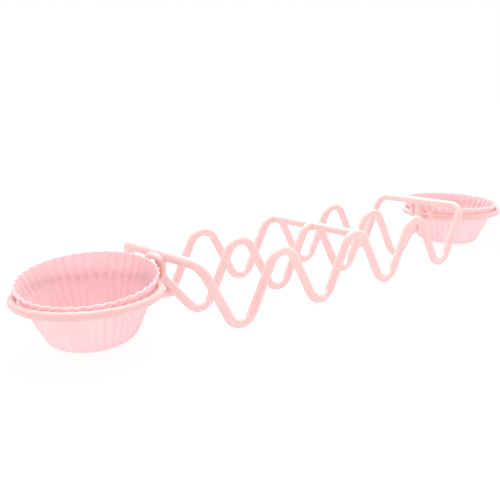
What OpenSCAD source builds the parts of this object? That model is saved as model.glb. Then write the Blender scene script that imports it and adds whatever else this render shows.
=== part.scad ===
// Taco holder: three parallel wave rods joined by bars, with a ring at each end that holds a fluted cup.
// X runs along the row of tacos, Z is up, and the origin is on the table under the middle of the rack.

/* [Rack] */
// Number of valleys, with one taco in each
taco_count = 4; // [2:1:6]
// Distance from one taco to the next
pitch = 61; // [50:1:80]
// Height of a peak above a valley, rod centre to rod centre
rise = 33.7; // [26:0.1:45]
// Bend radius of a peak at the rod centre
peak_r = 10.4; // [6:0.1:13]
// Bend radius of a valley at the rod centre
valley_r = 9.5; // [6:0.1:12]
// Distance from the middle rod to each outer rod
row_gap = 36.2; // [25:0.1:50]
// Diameter of the wave rods
rod_d = 5.3; // [4:0.1:8]

/* [Bars] */
// Diameter of the bar across the middle peaks
centre_bar_d = 5.2; // [3:0.1:5.2]
// Diameter of the bar across each end
end_bar_d = 5.4; // [5.4:0.1:8]
// Height of the end bars above the valleys, centre to centre
end_bar_h = 35.5; // [28:0.1:45]
// Bend radius of an outer rod where it turns into the end bar
corner_r = 8; // [6:0.5:16]
// Slope of the middle rod's end legs
mid_slope = 48.5; // [45:0.5:58]
// Bend radius where the middle rod's end legs turn upright
mid_bend_r = 10; // [5:0.5:14]

/* [Ring holder] */
// Diameter of the ring's rod
ring_d = 4.5; // [4.4:0.1:6]
// From the centre of the arch's posts to the nearest centre of the ring's rod
ring_gap = 4.1; // [3.5:0.1:12]
// Distance between the two posts of the arch
arch_w = 15.2; // [12:0.1:20]
// Thickness of the arch
arch_d = 3.2; // [2.4:0.1:4.4]
// How far the arch's crown is below the centre of the end bar
arch_drop = 0.6; // [0:0.1:2]
// How far the arch is sunk into the side of the end bar
arch_bite = 1; // [0.6:0.1:1.6]
// Crown radius of the arch
arch_crown_r = 20; // [10.5:0.5:30]
// Corner radius of the arch
arch_corner_r = 3; // [2.3:0.1:5]
// Bend radius at the foot of the posts, where there is room for it
foot_r = 4.5; // [3:0.1:6]
// Diameter of the brace from the middle rod to the ring
brace_d = 4.4; // [3:0.1:4.4]
// Height of the brace's level stretch above the table
brace_z = 15.6; // [14:0.1:18]
// Slope of the brace's rising stretch
brace_slope = 52; // [42:1:60]
// Bend radius of the brace, where there is room for it
brace_bend_r = 5; // [3:0.5:8]

/* [Cups] */
// Diameter across the rim
cup_top_d = 72; // [60:1:90]
// Diameter across the base, before its edge is rounded
cup_base_d = 46; // [36:1:56]
// Height of the cup
cup_h = 31; // [24:0.5:34]
// Height of the rim above the ring's rod centre
cup_stand = 7.5; // [5:0.5:12]
// Height of an upright cup's base above the table
cup_clear = 2.5; // [2:0.5:4]
// Wall thickness
cup_wall = 0.8; // [0.6:0.1:1.2]
// Thickness of the floor
cup_floor = 1; // [0.8:0.1:1.6]
// Number of flutes
flute_count = 40; // [24:2:48]
// Depth of a flute at the rim
flute_top = 1.2; // [0.8:0.1:2.2]
// Depth of a flute where the wall meets the rounded edge of the base
flute_low = 1; // [0.4:0.1:1.4]
// Radius of the edge between wall and base
base_edge_r = 4.5; // [3:0.5:7]
// Gap between the flutes and the ring
seat_gap = 0.3; // [0.2:0.05:0.6]
// How far the left cup leans out, in degrees
left_lean_out = 5; // [0:0.5:6]
// How far the left cup leans to the front, in degrees
left_lean_front = 5.5; // [0:0.5:6]
// How far the right cup leans out, in degrees
right_lean_out = 1; // [0:0.5:6]
// How far the right cup leans to the front, in degrees
right_lean_front = 2.5; // [0:0.5:6]

/* [Hidden] */
plastic_colour = "#fbd6d2";
cup_colour = "#f9cfd2";

// Sides of the rods' sections, and steps round their bends
rod_sides = 16;
thin_sides = 12;
ring_steps = 96;
bend_steps = 6;
corner_steps = 4;

// Slope of the straight legs, tangent to a peak bend and to a valley bend
leg_drop = rise - peak_r - valley_r;
leg_slope = atan2(leg_drop, pitch / 2) + asin((peak_r + valley_r) / norm([pitch / 2, leg_drop]));
first_valley_x = -(taco_count - 1) * pitch / 2;
valley_z = rod_d / 2;
end_bar_z = valley_z + end_bar_h;
centre_bar_x = first_valley_x + (floor(taco_count / 2) - 0.5) * pitch;

// Where the legs leave a valley bend outward and upward, and where that line has reached height z
function leg_foot(slope) = [
    first_valley_x - valley_r * sin(slope),
    valley_z + valley_r * (1 - cos(slope))
];
function leg_x(slope, z) = leg_foot(slope).x - (z - leg_foot(slope).y) / tan(slope);
end_bar_x = leg_x(leg_slope, end_bar_z);
mid_knee = [end_bar_x, leg_foot(mid_slope).y + (leg_foot(mid_slope).x - end_bar_x) * tan(mid_slope)];
mid_bend_len = mid_bend_r * tan((90 - mid_slope) / 2);

// The cup's outside radius where the ring carries it, and the ring, which is level and clears the leaning cup
cup_taper = (cup_top_d - cup_base_d) / 2 / cup_h;
taper_angle = atan(cup_taper);
seat_r = cup_top_d / 2 - cup_taper * cup_stand;
ring_r = seat_r + (ring_d / 2 + seat_gap) / cos(taper_angle);
ring_z = cup_clear + cup_h - cup_stand;

// The arch that stands on the ring and leans on the end bar
arch_x = end_bar_x - end_bar_d / 2 - arch_d / 2 + arch_bite;
arch_corner_y = arch_w / 2 - arch_corner_r;
arch_corner_rise = sqrt(pow(arch_crown_r - arch_corner_r, 2) - pow(arch_corner_y, 2));
arch_corner_angle = atan2(arch_corner_rise, arch_corner_y);
arch_crown_z = end_bar_z - arch_drop - arch_crown_r;
arch_corner_z = arch_crown_z + arch_corner_rise;
ring_x = arch_x - ring_gap - ring_r;
ring_x_at_post = ring_x + sqrt(pow(ring_r, 2) - pow(arch_w / 2, 2));

// The brace from the middle rod's end leg to the ring
brace_knee_x = ring_x + ring_r + (ring_z - brace_z) / tan(brace_slope);

// The bends as far as there is room for them, with a short straight left beside each
least_straight = 0.3;
foot_bend_r = min(foot_r, arch_x - ring_x_at_post - least_straight, arch_corner_z - ring_z - least_straight);
brace_bend_len = min(
    brace_bend_r * tan(brace_slope / 2),
    leg_x(mid_slope, brace_z) - brace_knee_x - least_straight,
    (ring_z - brace_z) / sin(brace_slope) - least_straight
);
brace_r = brace_bend_len / tan(brace_slope / 2);

// A place on a rod is [centre, normal, binormal]; the rod's round section lies across these two
module rod(places, d, sides, closed = false) {
    count = len(places);
    points = [
        for (place = places) for (i = [0:sides - 1])
            place[0] + d / 2 * (cos(360 * i / sides) * place[1] + sin(360 * i / sides) * place[2])
    ];
    walls = [
        for (k = [0:count - (closed ? 1 : 2)]) for (i = [0:sides - 1]) let (
            next = (k + 1) % count,
            j = (i + 1) % sides,
            a = k * sides + i,
            b = next * sides + i,
            c = next * sides + j,
            e = k * sides + j
        ) each [[a, b, c], [a, c, e]]
    ];
    ends = closed ? [] : [
        [for (i = [0:sides - 1]) i],
        [for (i = [sides - 1:-1:0]) (count - 1) * sides + i]
    ];
    polyhedron(points = points, faces = concat(walls, ends), convexity = 10);
}

// Angles from one to another in even steps, both ends included
function angles(from, to, steps) = [for (i = [0:steps]) from + (to - from) * i / steps];

// A place in an upright plane at a distance y, where the rod heads at angle a above the X axis
function place(x, z, a, y = 0) = [[x, y, z], [-sin(a), 0, cos(a)], [0, -1, 0]];

// The same places travelled backwards
function reversed(places) = [for (i = [len(places) - 1:-1:0]) [places[i][0], places[i][1], -places[i][2]]];

// The bend of valley k, which the rod enters down the left slope and leaves up the right one
function valley(k, left, right, y) = [
    for (a = angles(-left, right, bend_steps))
        place(
            first_valley_x + k * pitch + valley_r * sin(a),
            valley_z + valley_r * (1 - cos(a)),
            a,
            y
        )
];

// The bend over the top of peak k
function peak(k, y) = [
    for (a = angles(leg_slope, -leg_slope, bend_steps))
        place(
            first_valley_x + (k + 0.5) * pitch - peak_r * sin(a),
            valley_z + rise - peak_r * (1 - cos(a)),
            a,
            y
        )
];

// One rod from its first valley to its last, left to right; its legs are the gaps between the bends
function wave(end_slope, y) = [
    for (k = [0:taco_count - 1]) each concat(
        valley(
            k,
            k == 0 ? end_slope : leg_slope,
            k == taco_count - 1 ? end_slope : leg_slope,
            y
        ),
        k < taco_count - 1 ? peak(k, y) : []
    )
];

// The corner bend of an outer rod that heads up along a leg and turns across the rack.
// side is 1 at the right end and -1 at the left, and turn runs on to 180 past the second corner
function corner(side, turns, y) = [
    for (turn = turns) let (
        up = [side * cos(leg_slope), 0, sin(leg_slope)],
        normal = [-side * sin(leg_slope), 0, cos(leg_slope)],
        across = [0, -side, 0],
        binormal = cos(turn) * across + sin(turn) * up,
        centre = [-side * end_bar_x, y, end_bar_z] - corner_r * up
    ) [centre + corner_r * binormal, normal, binormal]
];

// Both corners of an end; the bar between them is the gap from one to the other
function end_turn(side) = concat(
    corner(side, angles(0, 90, corner_steps), -side * (row_gap - corner_r)),
    corner(side, angles(90, 180, corner_steps), side * (row_gap - corner_r))
);

// The outer rods and their corners, as one closed loop
module outer_loop() {
    rod(
        concat(
            wave(leg_slope, -row_gap),
            end_turn(1),
            reversed(wave(leg_slope, row_gap)),
            end_turn(-1)
        ),
        rod_d,
        rod_sides,
        closed = true
    );
}

// The middle rod's right end: a flatter leg that turns upright into the end bar
function middle_end() = concat(
    [
        for (a = angles(mid_slope, 90, corner_steps))
            place(
                -mid_knee.x - mid_bend_r + mid_bend_r * sin(a),
                mid_knee.y + mid_bend_len - mid_bend_r * cos(a),
                a
            )
    ],
    [place(-end_bar_x, end_bar_z, 90)]
);

// A place seen in the mirror at the middle of the rack, travelled backwards
function mirrored(places) = [
    for (i = [len(places) - 1:-1:0]) [
        [-places[i][0].x, places[i][0].y, places[i][0].z],
        [-places[i][1].x, places[i][1].y, places[i][1].z],
        places[i][2]
    ]
];

module middle_rod() {
    rod(concat(mirrored(middle_end()), wave(mid_slope, 0), middle_end()), rod_d, rod_sides);
}

// A thicker sleeve of the bar across the left end, between the two corner bends
module end_bar() {
    translate([end_bar_x, row_gap - corner_r, end_bar_z])
        rotate([90, 0, 0])
            cylinder(d = end_bar_d, h = 2 * (row_gap - corner_r), $fn = rod_sides);
}

// The bar across the three middle peaks
module centre_bar() {
    translate([centre_bar_x, row_gap, valley_z + rise])
        rotate([90, 0, 0])
            cylinder(d = centre_bar_d, h = 2 * row_gap, $fn = rod_sides);
}

// The ring round the left cup
module ring() {
    translate([ring_x, 0, ring_z])
        rotate_extrude($fn = ring_steps)
            translate([ring_r, 0])
                circle(d = ring_d, $fn = thin_sides);
}

// The front post of the arch, from inside the ring: inward, then up
function arch_post() = concat(
    [place(ring_x_at_post, ring_z, 0, -arch_w / 2)],
    [
        for (a = angles(0, 90, corner_steps))
            place(
                arch_x - foot_bend_r * (1 - sin(a)),
                ring_z + foot_bend_r * (1 - cos(a)),
                a,
                -arch_w / 2
            )
    ]
);

// A bend in the plane of the arch, where turn is 0 heading up and 180 heading down
function arch_bend(centre_y, centre_z, r, turns) = [
    for (turn = turns)
        [
            [arch_x, centre_y - r * cos(turn), centre_z + r * sin(turn)],
            [-1, 0, 0],
            [0, -cos(turn), sin(turn)]
        ]
];

// The arch: two posts under a crowned top with rounded corners
module arch() {
    rod(
        concat(
            arch_post(),
            arch_bend(
                -arch_corner_y,
                arch_corner_z,
                arch_corner_r,
                angles(0, arch_corner_angle, corner_steps)
            ),
            arch_bend(
                0,
                arch_crown_z,
                arch_crown_r,
                angles(arch_corner_angle, 180 - arch_corner_angle, corner_steps)
            ),
            arch_bend(
                arch_corner_y,
                arch_corner_z,
                arch_corner_r,
                angles(180 - arch_corner_angle, 180, corner_steps)
            ),
            [for (p = reversed(arch_post())) [[p[0].x, -p[0].y, p[0].z], p[1], p[2]]]
        ),
        arch_d,
        thin_sides
    );
}

// The brace: down from the ring, then level to the middle rod's end leg
module brace() {
    rod(
        concat(
            [place(ring_x + ring_r, ring_z, -brace_slope)],
            [
                for (a = angles(-brace_slope, 0, corner_steps))
                    place(
                        brace_knee_x + brace_bend_len + brace_r * sin(a),
                        brace_z + brace_r * (1 - cos(a)),
                        a
                    )
            ],
            [place(leg_x(mid_slope, brace_z), brace_z, 0)]
        ),
        brace_d,
        thin_sides
    );
}

// The left end's own pieces: its bar, ring, arch and brace
module left_end() {
    end_bar();
    ring();
    arch();
    brace();
}

// The rack, moulded in one piece with both ring holders
module rack() {
    color(plastic_colour) {
        outer_loop();
        middle_rod();
        centre_bar();
        left_end();
        mirror([1, 0, 0])
            left_end();
    }
}

// Half of a flute's columns of points are on its crest and half in its groove
flute_columns = 4;
columns = flute_columns * flute_count;
edge_steps = 3;

// Rows of the cup as [radius over the crests, flute depth, height], shrunk inward by a wall
function wall_row(z, shrink) = [
    cup_base_d / 2 + cup_taper * z - shrink,
    flute_low + (flute_top - flute_low) * z / cup_h,
    z
];
function edge_row(step, shrink, lift) = let (
    turn = (90 - taper_angle) * step / edge_steps,
    centre_r = cup_base_d / 2 - base_edge_r * tan((90 - taper_angle) / 2),
    r = base_edge_r - shrink
) [
    centre_r + r * sin(turn),
    flute_low * step / edge_steps,
    base_edge_r - (base_edge_r - lift) * cos(turn)
];
outside_rows = [
    for (step = [0:edge_steps]) edge_row(step, 0, 0),
    wall_row(cup_h, 0)
];
inside_rows = [
    wall_row(cup_h, cup_wall),
    for (step = [edge_steps:-1:0]) edge_row(step, cup_wall, cup_floor)
];
cup_rows = concat(outside_rows, inside_rows);

function cup_point(row, i) = let (
    on_crest = i % flute_columns < flute_columns / 2,
    r = row[0] - (on_crest ? 0 : row[1]),
    a = 360 * i / columns
) [r * cos(a), r * sin(a), row[2] - cup_h + cup_stand];

// A fluted cup whose ring plane is at height zero
module cup() {
    last = len(cup_rows) - 1;
    points = concat(
        [for (row = cup_rows) for (i = [0:columns - 1]) cup_point(row, i)],
        [[0, 0, cup_stand - cup_h], [0, 0, cup_stand - cup_h + cup_floor]]
    );
    under_centre = len(points) - 2;
    floor_centre = len(points) - 1;
    walls = [
        for (k = [0:last - 1]) for (i = [0:columns - 1]) let (
            j = (i + 1) % columns,
            a = k * columns + i,
            b = k * columns + j,
            c = (k + 1) * columns + j,
            d = (k + 1) * columns + i
        ) each [[a, d, c], [a, c, b]]
    ];
    caps = [
        for (i = [0:columns - 1]) let (j = (i + 1) % columns) each [
            [under_centre, i, j],
            [floor_centre, last * columns + j, last * columns + i]
        ]
    ];
    polyhedron(points = points, faces = concat(walls, caps), convexity = 6);
}

// A cup in the left ring, leaning. It moves back against its lean and rises a little, so that its wall
// keeps the same gap to the ring on the side that it leans to and on the side opposite
module seated_cup(lean_out, lean_front) {
    tilt = acos(cos(lean_out) * cos(lean_front));
    apart = 2 * ring_r / sin(2 * taper_angle);
    back = apart * (cos(tilt) - pow(cos(taper_angle), 2));
    up = apart * (1 - cos(tilt)) * (cos(tilt) + pow(sin(taper_angle), 2));
    shift = [back * sin(lean_out) * cos(lean_front), back * sin(lean_front), up];
    translate([ring_x, 0, ring_z] + shift)
        rotate([lean_front, -lean_out, 0])
            cup();
}

module left_cup() {
    color(cup_colour)
        seated_cup(left_lean_out, left_lean_front);
}

module right_cup() {
    color(cup_colour)
        mirror([1, 0, 0])
            seated_cup(right_lean_out, right_lean_front);
}

rack();
left_cup();
right_cup();
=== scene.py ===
"""Taco holder: a moulded rack of wavy rods whose end rings hold two fluted silicone cups.

Sizes are in millimetres, in the part's own frame: X along the row of tacos, Z up, the table at zero.
"""
import math

import bpy
import numpy as np
from mathutils import Matrix, Vector


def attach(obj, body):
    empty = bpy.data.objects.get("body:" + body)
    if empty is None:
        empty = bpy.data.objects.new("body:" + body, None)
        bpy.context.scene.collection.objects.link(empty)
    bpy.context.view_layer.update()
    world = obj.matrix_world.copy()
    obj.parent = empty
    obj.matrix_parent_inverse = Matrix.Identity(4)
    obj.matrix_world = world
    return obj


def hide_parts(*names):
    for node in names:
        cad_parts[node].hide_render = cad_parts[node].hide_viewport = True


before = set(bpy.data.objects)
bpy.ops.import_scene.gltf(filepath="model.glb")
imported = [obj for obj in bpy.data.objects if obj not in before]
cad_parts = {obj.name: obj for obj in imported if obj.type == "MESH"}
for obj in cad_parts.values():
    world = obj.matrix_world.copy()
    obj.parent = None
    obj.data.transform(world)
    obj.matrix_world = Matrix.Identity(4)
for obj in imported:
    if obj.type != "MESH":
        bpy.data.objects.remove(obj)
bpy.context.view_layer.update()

MM = 0.001
BODY = "root"

# The rack's rods
TACO_COUNT = 4
PITCH = 61.0
RISE = 33.7
PEAK_R = 10.4
VALLEY_R = 9.5
ROW_GAP = 36.2
ROD_D = 5.3
CENTRE_BAR_D = 5.2
END_BAR_D = 5.4
END_BAR_H = 35.5
CORNER_R = 8.0
MID_SLOPE = math.radians(48.5)
MID_BEND_R = 10.0

# The ring holders
RING_D = 4.5
RING_GAP = 4.1
ARCH_W = 15.2
ARCH_D = 3.2
ARCH_DROP = 0.6
ARCH_BITE = 1.0
ARCH_CROWN_R = 20.0
ARCH_CORNER_R = 3.0
FOOT_R = 4.5
BRACE_D = 4.4
BRACE_Z = 15.6
BRACE_SLOPE = math.radians(52)
BRACE_BEND_R = 5.0

# The cups, and how far each leans outward and to the front in degrees
CUP_TOP_D = 72.0
CUP_BASE_D = 46.0
CUP_H = 31.0
CUP_STAND = 7.5
CUP_CLEAR = 2.5
CUP_WALL = 0.8
CUP_FLOOR = 1.0
FLUTE_COUNT = 40
FLUTE_TOP = 1.2
FLUTE_LOW = 1.0
BASE_EDGE_R = 4.5
SEAT_GAP = 0.3
LEANS = {"left_cup": (5.0, 5.5), "right_cup": (1.0, 2.5)}

# How finely the surfaces are drawn. A point's move is divided by no less than the least steepness, which
# keeps it short where the slopes of two rods nearly cancel
SKIN_CELL = 0.7
TUBE_SIDES = 32
TUBE_STEP = 0.8
FILLET = 1.1
RELAX_ROUNDS = 5
SEAT_STEPS = 3
LEAST_STEEPNESS = 0.2
FLUTE_POINTS = 12
WALL_ROWS = 32
EDGE_ROWS = 8
FLOOR_ROWS = 10
LIP_ROWS = 6

# How far short of another rod's centre line a rod ends, so that the fillet stays off the far side
END_INSET = 1.5

# A direction that no straight stretch runs along, from which a tube's section is set out
ASKEW = (0.3, 0.5, 0.8)

# The rack's plastic: its two close shades and the clouds of them per millimetre, the tint of a painted
# shade that darkens the ring holders and how far out it sets in, its grain per millimetre, that grain's
# depth and strength, its roughness, and how far light travels under its surface in all and in each of red,
# green and blue
PLASTIC_DARK = "#eeccc9"
PLASTIC_LIGHT = "#f1d2d1"
PLASTIC_CLOUDS = 0.03
PAINTED_SHADE_TINT = "#faf3f3"
PAINTED_SHADE_FROM = 118.0
PAINTED_SHADE_TO = 128.0
PLASTIC_GRAIN = 2.5
PLASTIC_GRAIN_DEPTH = 0.02
PLASTIC_GRAIN_STRENGTH = 0.15
PLASTIC_ROUGHNESS = (0.34, 0.46)
PLASTIC_IOR = 1.49
PLASTIC_REACH = 3.0
PLASTIC_REACH_RGB = (1.0, 0.7, 0.65)

# The cups' silicone, in the same terms
SILICONE_DARK = "#e6b8bb"
SILICONE_LIGHT = "#e9bdc0"
SILICONE_CLOUDS = 0.05
SILICONE_GRAIN = 1.6
SILICONE_GRAIN_DEPTH = 0.03
SILICONE_GRAIN_STRENGTH = 0.2
SILICONE_ROUGHNESS = (0.42, 0.56)
SILICONE_IOR = 1.41
SILICONE_REACH = 4.0
SILICONE_REACH_RGB = (1.0, 0.7, 0.7)

# Where the clouds turn from the dark shade to the light one, and the detail of clouds and grain
CLOUD_EDGES = (0.3, 0.7)
CLOUD_DETAIL = 2.0
GRAIN_DETAIL = 3.0

# The light and the table
SKY_STRENGTH = 1.0
SOFTBOX_AT = (350.0, 450.0, 930.0)
SOFTBOX_D = 700.0
SOFTBOX_WATTS = 11.0
FLOOR_HALF = 4000.0
FLOOR_COLOUR = "#595959"
FLOOR_ROUGHNESS = 0.9
FLOOR_GLOW_COLOUR = "#ffffff"
FLOOR_GLOW = 0.88

# The photograph's camera: place, then azimuth, elevation and roll in degrees, and focal length in pixels
CAMERA_AT = (-303.824, -288.86, 122.192)
CAMERA_ANGLES = (-40.948, 13.645, -1.106)
CAMERA_FOCAL_PX = 660.0
PHOTO_PX = 500
SENSOR_WIDTH = 36.0
CLIP_START = 10.0

# Slopes and places that follow from the sizes above
LEG_DROP = RISE - PEAK_R - VALLEY_R
LEG_SPAN = math.hypot(PITCH / 2, LEG_DROP)
LEG_SLOPE = math.atan2(LEG_DROP, PITCH / 2) + math.asin((PEAK_R + VALLEY_R) / LEG_SPAN)
LEG_LENGTH = math.sqrt(LEG_SPAN ** 2 - (PEAK_R + VALLEY_R) ** 2)
FIRST_VALLEY_X = -(TACO_COUNT - 1) * PITCH / 2
VALLEY_Z = ROD_D / 2
END_BAR_Z = VALLEY_Z + END_BAR_H


def leg_foot(slope):
    """Where an end leg of that slope leaves the first valley's bend, as X and Z."""
    return FIRST_VALLEY_X - VALLEY_R * math.sin(slope), VALLEY_Z + VALLEY_R * (1 - math.cos(slope))


def leg_x(slope, z):
    """Where the line of the same end leg is at height z."""
    x, foot_z = leg_foot(slope)
    return x - (z - foot_z) / math.tan(slope)


END_BAR_X = leg_x(LEG_SLOPE, END_BAR_Z)
ARCH_X = END_BAR_X - END_BAR_D / 2 - ARCH_D / 2 + ARCH_BITE
TAPER = (CUP_TOP_D - CUP_BASE_D) / 2 / CUP_H
TAPER_ANGLE = math.atan(TAPER)
RING_R = CUP_TOP_D / 2 - TAPER * CUP_STAND + (RING_D / 2 + SEAT_GAP) / math.cos(TAPER_ANGLE)
RING_X = ARCH_X - RING_GAP - RING_R
RING_Z = CUP_CLEAR + CUP_H - CUP_STAND

# Axes that a rod turns about: up and down as it heads along +X, and across the rack's ends
RISING = np.array([0.0, -1.0, 0.0])
FALLING = -RISING


class Rod:
    """A round rod, walked from its start: each straight or bend begins where the last one ends."""

    def __init__(self, start, ahead, d):
        self.at = np.array(start, float)
        self.ahead = np.array(ahead, float)
        self.radius = d / 2
        self.straights = []
        self.bends = []

    def forward(self, length, d=0.0):
        """A straight of that length, with its own diameter if one is given."""
        end = self.at + length * self.ahead
        self.straights.append((self.at, end, d / 2 or self.radius))
        self.at = end
        return self

    def turn(self, r, axis, angle):
        """A bend of radius r through that angle about an axis, by the right-hand rule."""
        inward = np.cross(axis, self.ahead)
        centre = self.at + r * inward
        self.bends.append((centre, -inward, self.ahead, r, angle, self.radius))
        self.at = centre + r * (math.sin(angle) * self.ahead - math.cos(angle) * inward)
        self.ahead = math.cos(angle) * self.ahead + math.sin(angle) * inward
        return self

    def wave(self, end_slope):
        """Every valley and peak from the first to the last, entered and left at the end slope."""
        side = math.copysign(1.0, self.ahead[0])
        for k in range(TACO_COUNT):
            into = end_slope if k == 0 else LEG_SLOPE
            out = end_slope if k == TACO_COUNT - 1 else LEG_SLOPE
            self.turn(VALLEY_R, side * RISING, into + out)
            if k < TACO_COUNT - 1:
                self.forward(LEG_LENGTH).turn(PEAK_R, side * FALLING, 2 * LEG_SLOPE).forward(LEG_LENGTH)
        return self

    def at_other_end(self):
        """The same rod at the other end of the rack, with X turned about."""
        flip = np.array([-1.0, 1.0, 1.0])
        other = Rod(self.at * flip, self.ahead * flip, 2 * self.radius)
        other.straights = [(a * flip, b * flip, radius) for a, b, radius in self.straights]
        other.bends = [(c * flip, u * flip, v * flip, *rest) for c, u, v, *rest in self.bends]
        return other

    def distance(self, p):
        """Distance from points p to the rod's surface, negative inside, and the direction away from it.

        Each straight gives the distance to its nearest point, each bend that to its nearest point on the
        arc, less the radius, and the rod takes the least.
        """
        best = np.full(len(p), np.inf)
        away = np.zeros_like(p)
        for a, b, radius in self.straights:
            share = np.clip((p - a) @ (b - a) / ((b - a) @ (b - a)), 0, 1)
            keep_nearest(best, away, p - (a + share[:, None] * (b - a)), radius)
        for centre, u, v, r, angle, radius in self.bends:
            turned = np.arctan2((p - centre) @ v, (p - centre) @ u)
            past = np.mod(turned - angle / 2 + math.pi, 2 * math.pi) - math.pi
            t = (angle / 2 + np.clip(past, -angle / 2, angle / 2))[:, None]
            keep_nearest(best, away, p - (centre + r * (np.cos(t) * u + np.sin(t) * v)), radius)
        return best, away

    def tubes(self):
        """A closed tube round each straight and bend: circles carried along it, with a fan at each end."""
        for a, b, radius in self.straights:
            steps = 2 + int(np.linalg.norm(b - a) / TUBE_STEP)
            t = np.linspace(0, 1, steps)[:, None]
            along = (b - a) / np.linalg.norm(b - a)
            side = np.cross(along, ASKEW)
            side /= np.linalg.norm(side)
            other = np.cross(along, side)
            yield tube(a + t * (b - a), np.tile(side, (steps, 1)), np.tile(other, (steps, 1)), radius)
        for centre, u, v, r, angle, radius in self.bends:
            t = np.linspace(0, angle, 4 + int(r * angle / TUBE_STEP))[:, None]
            outward = np.cos(t) * u + np.sin(t) * v
            yield tube(centre + r * outward, outward, np.tile(np.cross(u, v), (len(t), 1)), radius)


def keep_nearest(best, away, offset, radius):
    """Where an offset from a centre line is nearer than the best so far, it becomes the best."""
    length = np.linalg.norm(offset, axis=1)
    nearer = length - radius < best
    best[nearer] = (length - radius)[nearer]
    away[nearer] = offset[nearer] / np.maximum(length[nearer], 1e-9)[:, None]


def tube(centres, side, other, radius):
    """Points and faces of a circle of that radius carried along the centres, closed by two fans."""
    angle = np.arange(TUBE_SIDES) * 2 * math.pi / TUBE_SIDES
    circle = np.cos(angle)[:, None] * side[:, None] + np.sin(angle)[:, None] * other[:, None]
    points = (centres[:, None] + radius * circle).reshape(-1, 3)
    quads = grid_faces(len(centres), TUBE_SIDES)
    fans = closing_fans(len(centres), TUBE_SIDES)
    return np.concatenate([points, centres[[0, -1]]]), quads, fans


def grid_faces(rows, columns):
    """Four-sided faces between neighbouring rows of a grid whose columns close on themselves."""
    k, i = np.meshgrid(np.arange(rows - 1) * columns, np.arange(columns), indexing="ij")
    j = (i + 1) % columns
    return np.stack([k + i, k + j, k + columns + j, k + columns + i], -1).reshape(-1, 4)


def closing_fans(rows, columns):
    """Triangles from the two points that follow a grid: one fan to its first row and one to its last."""
    hub = rows * columns
    first = np.arange(columns)
    last = first + hub - columns
    return np.concatenate([
        np.stack([np.full(columns, hub), np.roll(first, -1), first], 1),
        np.stack([np.full(columns, hub + 1), last, np.roll(last, -1)], 1),
    ])


def outer_loop():
    """Both outer rods and the bars across the ends, as one closed rod."""
    half_bar = ROW_GAP - CORNER_R
    end_leg = (END_BAR_Z - leg_foot(LEG_SLOPE)[1]) / math.sin(LEG_SLOPE) - CORNER_R
    left_tilt = np.array([math.sin(LEG_SLOPE), 0.0, math.cos(LEG_SLOPE)])
    right_tilt = left_tilt * [-1, 1, 1]
    rod = Rod((END_BAR_X, 0, END_BAR_Z), (0, -1, 0), ROD_D)
    rod.forward(half_bar, END_BAR_D)
    for near, far, bar in ((left_tilt, right_tilt, 2 * half_bar), (right_tilt, left_tilt, half_bar)):
        rod.turn(CORNER_R, near, math.pi / 2).forward(end_leg).wave(LEG_SLOPE).forward(end_leg)
        rod.turn(CORNER_R, far, math.pi / 2).forward(bar, END_BAR_D)
    return rod


def middle_rod():
    """The middle rod, whose flatter end legs turn upright into the end bars."""
    foot_x, foot_z = leg_foot(MID_SLOPE)
    knee_z = foot_z + (foot_x - END_BAR_X) * math.tan(MID_SLOPE)
    knee = math.pi / 2 - MID_SLOPE
    cut = MID_BEND_R * math.tan(knee / 2)
    leg = (foot_x - END_BAR_X) / math.cos(MID_SLOPE) - cut
    upright = END_BAR_Z - knee_z - cut - END_INSET
    rod = Rod((END_BAR_X, 0, END_BAR_Z - END_INSET), (0, 0, -1), ROD_D)
    rod.forward(upright).turn(MID_BEND_R, RISING, knee).forward(leg).wave(MID_SLOPE).forward(leg)
    return rod.turn(MID_BEND_R, RISING, knee).forward(upright)


def centre_bar():
    """The bar across the three middle peaks."""
    x = FIRST_VALLEY_X + (TACO_COUNT // 2 - 0.5) * PITCH
    reach = ROW_GAP - END_INSET
    return Rod((x, -reach, VALLEY_Z + RISE), (0, 1, 0), CENTRE_BAR_D).forward(2 * reach)


def ring():
    """The ring round the left cup."""
    return Rod((RING_X + RING_R, 0, RING_Z), (0, 1, 0), RING_D).turn(RING_R, (0, 0, 1), 2 * math.pi)


def arch():
    """Two posts that rise out of the left ring, under a crowned top that lies against the end bar."""
    start_x = RING_X + math.sqrt(RING_R ** 2 - (ARCH_W / 2) ** 2)
    corner_y = ARCH_W / 2 - ARCH_CORNER_R
    corner_rise = math.sqrt((ARCH_CROWN_R - ARCH_CORNER_R) ** 2 - corner_y ** 2)
    corner = math.atan2(corner_rise, corner_y)
    post = END_BAR_Z - ARCH_DROP - ARCH_CROWN_R + corner_rise - RING_Z - FOOT_R
    foot = ARCH_X - FOOT_R - start_x
    to_back = (-1, 0, 0)
    rod = Rod((start_x, -ARCH_W / 2, RING_Z), (1, 0, 0), ARCH_D)
    rod.forward(foot).turn(FOOT_R, RISING, math.pi / 2).forward(post)
    rod.turn(ARCH_CORNER_R, to_back, corner)
    rod.turn(ARCH_CROWN_R, to_back, math.pi - 2 * corner).turn(ARCH_CORNER_R, to_back, corner)
    return rod.forward(post).turn(FOOT_R, FALLING, math.pi / 2).forward(foot)


def brace():
    """The brace, down from the left ring and then level to the middle rod's end leg."""
    slope_length = (RING_Z - BRACE_Z) / math.sin(BRACE_SLOPE)
    cut = BRACE_BEND_R * math.tan(BRACE_SLOPE / 2)
    knee_x = RING_X + RING_R + (RING_Z - BRACE_Z) / math.tan(BRACE_SLOPE)
    level = leg_x(MID_SLOPE, BRACE_Z) - knee_x - cut - END_INSET
    ahead = np.array([math.cos(BRACE_SLOPE), 0.0, -math.sin(BRACE_SLOPE)])
    rod = Rod(np.array([RING_X + RING_R, 0, RING_Z]) + END_INSET * ahead, ahead, BRACE_D)
    return rod.forward(slope_length - cut - END_INSET).turn(BRACE_BEND_R, RISING, BRACE_SLOPE).forward(level)


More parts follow.
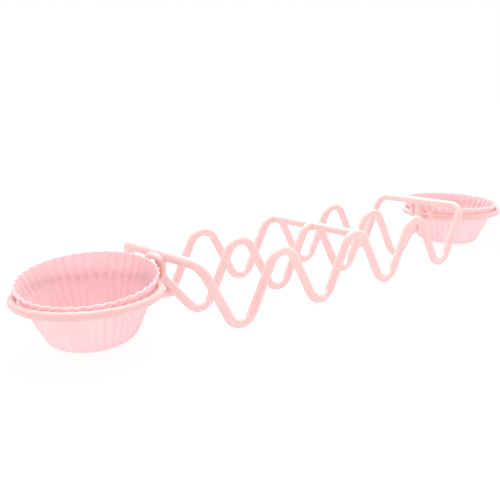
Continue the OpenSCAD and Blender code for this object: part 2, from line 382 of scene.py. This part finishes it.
def blended(rods, p):
    """Distance from points p to the rods' common surface, and its slope, with a fillet at each join.

    Where the distances to two rods differ by less than FILLET, a quadratic smooth minimum takes less than
    either, which lifts the surface into the corner between them.
    """
    least, slope = rods[0].distance(p)
    for rod in rods[1:]:
        other, away = rod.distance(p)
        share = np.clip(0.5 + 0.5 * (least - other) / FILLET, 0, 1)
        least = least + (other - least) * share - FILLET * share * (1 - share)
        slope = slope + (away - slope) * share[:, None]
    return least, slope


def seated(rods, p):
    """The points moved along the slope until they lie on the rods' common surface."""
    for _ in range(SEAT_STEPS):
        distance, slope = blended(rods, p)
        steepness = np.maximum((slope ** 2).sum(1), LEAST_STEEPNESS)
        p = p - (distance / steepness)[:, None] * slope
    return p


def relaxed(p, edges):
    """Each point moved half way to the average of its neighbours."""
    total = np.zeros_like(p)
    for axis in range(3):
        total[:, axis] += np.bincount(edges[:, 0], p[edges[:, 1], axis], len(p))
        total[:, axis] += np.bincount(edges[:, 1], p[edges[:, 0], axis], len(p))
    count = np.bincount(edges.ravel(), minlength=len(p))
    return (p + total / count[:, None]) / 2


def joined(parts):
    """The points and both lists of faces of several surfaces, numbered one after the other."""
    starts = np.cumsum([0] + [len(points) for points, _, _ in parts])
    return (
        np.concatenate([points for points, _, _ in parts]),
        np.concatenate([quads + n for (_, quads, _), n in zip(parts, starts)]),
        np.concatenate([fans + n for (_, _, fans), n in zip(parts, starts)]),
    )


def new_piece(name, points, faces, material=None):
    """An object with that mesh, its points given in millimetres, shaded smooth."""
    mesh = bpy.data.meshes.new(name)
    mesh.from_pydata((points * MM).tolist(), [], faces)
    mesh.shade_smooth()
    piece = bpy.data.objects.new(name, mesh)
    bpy.context.scene.collection.objects.link(piece)
    if material:
        mesh.materials.append(material)
    return piece


def array_of(items, attribute, width, kind):
    """One attribute of every vertex, edge or face corner of a mesh, as rows of that width."""
    values = np.empty(len(items) * width, kind)
    items.foreach_get(attribute, values)
    return values.reshape(-1, width)


def rack_skin(material):
    """The rack as one moulding: tubes round all its rods, merged into one skin that is then fitted.

    The merged skin has four-sided faces only. Its points are evened out along the surface and seated on
    the rods' common surface in turn, so the rods are round and every join has its fillet.
    """
    one_end = [ring(), arch(), brace()]
    rods = [outer_loop(), middle_rod(), centre_bar(), *one_end, *(rod.at_other_end() for rod in one_end)]
    points, quads, fans = joined([part for rod in rods for part in rod.tubes()])
    rough = new_piece("rough_rack", points, quads.tolist() + fans.tolist())
    merge = rough.modifiers.new("merge", "REMESH")
    merge.mode = "VOXEL"
    merge.voxel_size = SKIN_CELL * MM
    skin = bpy.data.meshes.new_from_object(rough.evaluated_get(bpy.context.evaluated_depsgraph_get()))
    points = array_of(skin.vertices, "co", 3, np.float32).astype(float) / MM
    edges = array_of(skin.edges, "vertices", 2, np.int32)
    for _ in range(RELAX_ROUNDS):
        points = seated(rods, relaxed(points, edges))
    faces = array_of(skin.loops, "vertex_index", 1, np.int32).reshape(-1, 4)
    bpy.data.objects.remove(rough)
    return new_piece("rack_moulding", points, faces.tolist(), material)


def cup_rows():
    """The cup's section, from the middle of its underside out, up, over the lip and in to its floor.

    Each row is the radius over the flutes' crests, the flutes' depth there and the height. The base and the
    floor are flat, the edges are arcs tangent to the wall, and the lip is half a circle.
    """
    edge_turn = np.linspace(0, math.pi / 2 - TAPER_ANGLE, EDGE_ROWS)
    edge_share = np.linspace(0, 1, EDGE_ROWS)
    edge_r = CUP_BASE_D / 2 - BASE_EDGE_R * math.tan((math.pi / 2 - TAPER_ANGLE) / 2)
    half_wall = CUP_WALL / 2

    def base(height, shrink):
        """The flat at that height and the edge round it, drawn in by that much."""
        radii = np.linspace(edge_r / FLOOR_ROWS, edge_r, FLOOR_ROWS)[:-1]
        flat = np.stack([radii, 0 * radii, 0 * radii + height], 1)
        edge = np.stack([
            edge_r + (BASE_EDGE_R - shrink) * np.sin(edge_turn),
            FLUTE_LOW * edge_share,
            BASE_EDGE_R - (BASE_EDGE_R - height) * np.cos(edge_turn),
        ], 1)
        return np.concatenate([flat, edge])

    outside = base(0, 0)
    inside = base(CUP_FLOOR, CUP_WALL)
    top = CUP_H - half_wall
    height = np.linspace(outside[-1, 2], top, WALL_ROWS)[1:]
    radius = CUP_BASE_D / 2 + TAPER * height
    depth = FLUTE_LOW + (FLUTE_TOP - FLUTE_LOW) * height / CUP_H
    wall = np.stack([radius, depth, height], 1)
    lip_turn = np.linspace(0, math.pi, LIP_ROWS + 2)[1:-1]
    lip = np.stack([
        radius[-1] - half_wall + half_wall * np.cos(lip_turn),
        0 * lip_turn + depth[-1],
        top + half_wall * np.sin(lip_turn),
    ], 1)
    return np.concatenate([outside, wall, lip, (wall - [CUP_WALL, 0, 0])[::-1], inside[::-1]])


def seat_shift(lean_out, lean_front):
    """How far a leaning cup moves back against its lean, and rises, so that it stays clear of its ring.

    The ring is level, so it cuts a leaning cone off centre. With this shift the cone is equally far from
    the ring on the side that it leans to and on the side opposite.
    """
    tilt = math.acos(math.cos(lean_out) * math.cos(lean_front))
    apart = 2 * RING_R / math.sin(2 * TAPER_ANGLE)
    back = apart * (math.cos(tilt) - math.cos(TAPER_ANGLE) ** 2)
    up = apart * (1 - math.cos(tilt)) * (math.cos(tilt) + math.sin(TAPER_ANGLE) ** 2)
    return np.array([back * math.sin(lean_out) * math.cos(lean_front), back * math.sin(lean_front), up])


def fluted_cup(name, material):
    """A leaning cup: its section turned round the axis, drawn in by a cosine wave of flutes.

    At an angle a the radius is the crest radius less the depth times half of one minus cos(n a).
    """
    rows = cup_rows()
    columns = FLUTE_POINTS * FLUTE_COUNT
    a = np.arange(columns) * 2 * math.pi / columns
    groove = (1 - np.cos(FLUTE_COUNT * a)) / 2
    r = rows[:, :1] - rows[:, 1:2] * groove
    z = np.repeat(rows[:, 2:] - CUP_H + CUP_STAND, columns, axis=1)
    points = np.stack([r * np.cos(a), r * np.sin(a), z], -1).reshape(-1, 3)
    hubs = np.array([[0, 0, z[0, 0]], [0, 0, z[-1, 0]]])
    quads = grid_faces(len(rows), columns)
    fans = closing_fans(len(rows), columns)
    lean_out, lean_front = (math.radians(x) for x in LEANS[name])
    lean = Matrix.Rotation(-lean_out, 3, "Y") @ Matrix.Rotation(lean_front, 3, "X")
    seat = np.array([RING_X, 0, RING_Z]) + seat_shift(lean_out, lean_front)
    points = np.concatenate([points, hubs]) @ np.array(lean).T + seat
    if name == "right_cup":
        points = points * [-1, 1, 1]
        quads = quads[:, ::-1]
        fans = fans[:, ::-1]
    return new_piece(name + "_silicone", points, quads.tolist() + fans.tolist(), material)


def linear(hex_colour):
    """An sRGB colour such as #ffd0c8 as linear red, green, blue and a full alpha."""
    srgb = [int(hex_colour[i:i + 2], 16) / 255 for i in (1, 3, 5)]
    return [c / 12.92 if c <= 0.04045 else ((c + 0.055) / 1.055) ** 2.4 for c in srgb] + [1.0]


def add(tree, kind, settings, sockets):
    """A node of that kind, with its settings, and each socket given a value or linked to an output."""
    made = tree.nodes.new(kind)
    for key, value in settings.items():
        setattr(made, key, value)
    for key, value in sockets.items():
        if isinstance(value, bpy.types.NodeSocket):
            tree.links.new(value, made.inputs[key])
        else:
            made.inputs[key].default_value = value
    return made


def blank_material(name):
    """A new material with only its output node, and that node."""
    material = bpy.data.materials.new(name)
    material.use_nodes = True
    material.node_tree.nodes.clear()
    return material, add(material.node_tree, "ShaderNodeOutputMaterial", {}, {})


def cloudy_colour(tree, place, per_mm, dark, light):
    """A colour that drifts between two close shades in soft clouds."""
    clouds = add(tree, "ShaderNodeTexNoise", {}, {
        "Vector": place, "Scale": per_mm / MM, "Detail": CLOUD_DETAIL})
    ramp = add(tree, "ShaderNodeValToRGB", {}, {"Fac": clouds.outputs["Fac"]})
    for stop, edge, shade in zip(ramp.color_ramp.elements, CLOUD_EDGES, (dark, light)):
        stop.position = edge
        stop.color = linear(shade)
    return ramp.outputs["Color"]


def fine_grain(tree, place, per_mm, depth, strength, roughness):
    """An even moulded grain: the roughness that goes with it, between two values, and its bumped normal."""
    grain = add(tree, "ShaderNodeTexNoise", {}, {
        "Vector": place, "Scale": per_mm / MM, "Detail": GRAIN_DETAIL})
    gloss = add(tree, "ShaderNodeMapRange", {}, {
        "Value": grain.outputs["Fac"], "To Min": roughness[0], "To Max": roughness[1]})
    bump = add(tree, "ShaderNodeBump", {}, {
        "Height": grain.outputs["Fac"], "Strength": strength, "Distance": depth * MM})
    return gloss.outputs["Result"], bump.outputs["Normal"]


def moulded_polypropylene():
    """Polypropylene from a satin-finished mould.

    Its broad soft highlights come from an even grain, drawn at 0.4 mm, which is coarser than a mould's
    so that it shows. Light that travels some way under the surface keeps its shaded side from going
    dull. The pigment drifts very slightly, and a painted shade darkens the ring holders.
    """
    material, output = blank_material("moulded_polypropylene")
    tree = material.node_tree
    place = add(tree, "ShaderNodeTexCoord", {}, {}).outputs["Object"]
    # Painted shade: far out along X, over the ring holders, the colour is multiplied by a slightly darker
    # tint
    along = add(tree, "ShaderNodeSeparateXYZ", {}, {"Vector": place})
    outward = add(tree, "ShaderNodeMath", {"operation": "ABSOLUTE"}, {0: along.outputs["X"]})
    painted_shade = add(tree, "ShaderNodeMapRange", {"interpolation_type": "SMOOTHSTEP"}, {
        "Value": outward.outputs["Value"], "From Min": PAINTED_SHADE_FROM * MM, "From Max": PAINTED_SHADE_TO * MM})
    colour = add(tree, "ShaderNodeMixRGB", {"blend_type": "MULTIPLY"}, {
        "Fac": painted_shade.outputs["Result"], "Color2": linear(PAINTED_SHADE_TINT),
        "Color1": cloudy_colour(tree, place, PLASTIC_CLOUDS, PLASTIC_DARK, PLASTIC_LIGHT)})
    roughness, normal = fine_grain(
        tree, place, PLASTIC_GRAIN, PLASTIC_GRAIN_DEPTH, PLASTIC_GRAIN_STRENGTH, PLASTIC_ROUGHNESS)
    surface = add(tree, "ShaderNodeBsdfPrincipled", {}, {
        "Base Color": colour.outputs["Color"], "Roughness": roughness, "Normal": normal,
        "IOR": PLASTIC_IOR, "Subsurface Weight": 1.0, "Subsurface Radius": PLASTIC_REACH_RGB,
        "Subsurface Scale": PLASTIC_REACH * MM})
    tree.links.new(surface.outputs["BSDF"], output.inputs["Surface"])
    return material


def moulded_silicone():
    """Food-grade silicone, compression moulded thin.

    Light passes through its wall, so the ring shows from inside as a deeper band, and its surface is a
    soft satin with an even grain, drawn at 0.6 mm so that it shows.
    """
    material, output = blank_material("moulded_silicone")
    tree = material.node_tree
    place = add(tree, "ShaderNodeTexCoord", {}, {}).outputs["Object"]
    roughness, normal = fine_grain(
        tree, place, SILICONE_GRAIN, SILICONE_GRAIN_DEPTH, SILICONE_GRAIN_STRENGTH, SILICONE_ROUGHNESS)
    surface = add(tree, "ShaderNodeBsdfPrincipled", {}, {
        "Base Color": cloudy_colour(tree, place, SILICONE_CLOUDS, SILICONE_DARK, SILICONE_LIGHT),
        "Roughness": roughness, "Normal": normal, "IOR": SILICONE_IOR, "Subsurface Weight": 1.0,
        "Subsurface Radius": SILICONE_REACH_RGB, "Subsurface Scale": SILICONE_REACH * MM})
    tree.links.new(surface.outputs["BSDF"], output.inputs["Surface"])
    return material


def floor():
    """The plain white light table, which isn't part of the object and keeps its shadows faint."""
    material, output = blank_material("white_light_table")
    surface = add(material.node_tree, "ShaderNodeBsdfPrincipled", {}, {
        "Base Color": linear(FLOOR_COLOUR), "Roughness": FLOOR_ROUGHNESS,
        "Emission Color": linear(FLOOR_GLOW_COLOUR), "Emission Strength": FLOOR_GLOW})
    material.node_tree.links.new(surface.outputs["BSDF"], output.inputs["Surface"])
    corners = np.array([(-1, -1, 0), (1, -1, 0), (1, 1, 0), (-1, 1, 0)]) * FLOOR_HALF
    new_piece("table", corners, [(0, 1, 2, 3)], material)


def studio():
    """White light from all round, and one large soft lamp above and behind, beyond the right cup."""
    world = bpy.data.worlds.new("white_studio")
    world.use_nodes = True
    world.node_tree.nodes.clear()
    sky = add(world.node_tree, "ShaderNodeBackground", {}, {"Color": (1, 1, 1, 1), "Strength": SKY_STRENGTH})
    add(world.node_tree, "ShaderNodeOutputWorld", {}, {"Surface": sky.outputs["Background"]})
    bpy.context.scene.world = world
    lamp = bpy.data.lights.new("softbox", "AREA")
    lamp.shape = "DISK"
    lamp.size = SOFTBOX_D * MM
    lamp.energy = SOFTBOX_WATTS
    softbox = bpy.data.objects.new("softbox", lamp)
    softbox.location = Vector(SOFTBOX_AT) * MM
    softbox.rotation_euler = (-softbox.location).to_track_quat("-Z", "Y").to_euler()
    bpy.context.scene.collection.objects.link(softbox)


def camera():
    """The photograph's view: where its camera stood, which way it looked, and its angle of view."""
    azimuth, elevation, roll = (math.radians(x) for x in CAMERA_ANGLES)
    back = Vector((math.sin(azimuth) * math.cos(elevation), -math.cos(azimuth) * math.cos(elevation),
                   math.sin(elevation)))
    level = Vector((0, 0, 1)).cross(back).normalized()
    right = math.cos(roll) * level + math.sin(roll) * back.cross(level)
    up = back.cross(right)
    lens = bpy.data.cameras.new("camera")
    lens.sensor_width = SENSOR_WIDTH
    lens.lens = SENSOR_WIDTH * CAMERA_FOCAL_PX / PHOTO_PX
    lens.clip_start = CLIP_START * MM
    view = bpy.data.objects.new("camera", lens)
    turn = Matrix((right, up, back)).transposed().to_4x4()
    view.matrix_world = Matrix.Translation(Vector(CAMERA_AT) * MM) @ turn
    bpy.context.scene.collection.objects.link(view)
    bpy.context.scene.camera = view
    bpy.context.scene.view_settings.view_transform = "Standard"


camera()
studio()
floor()

rack = rack_skin(moulded_polypropylene())
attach(rack, BODY)
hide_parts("rack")

silicone = moulded_silicone()
for node in LEANS:
    cup = fluted_cup(node, silicone)
    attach(cup, BODY)
    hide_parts(node)
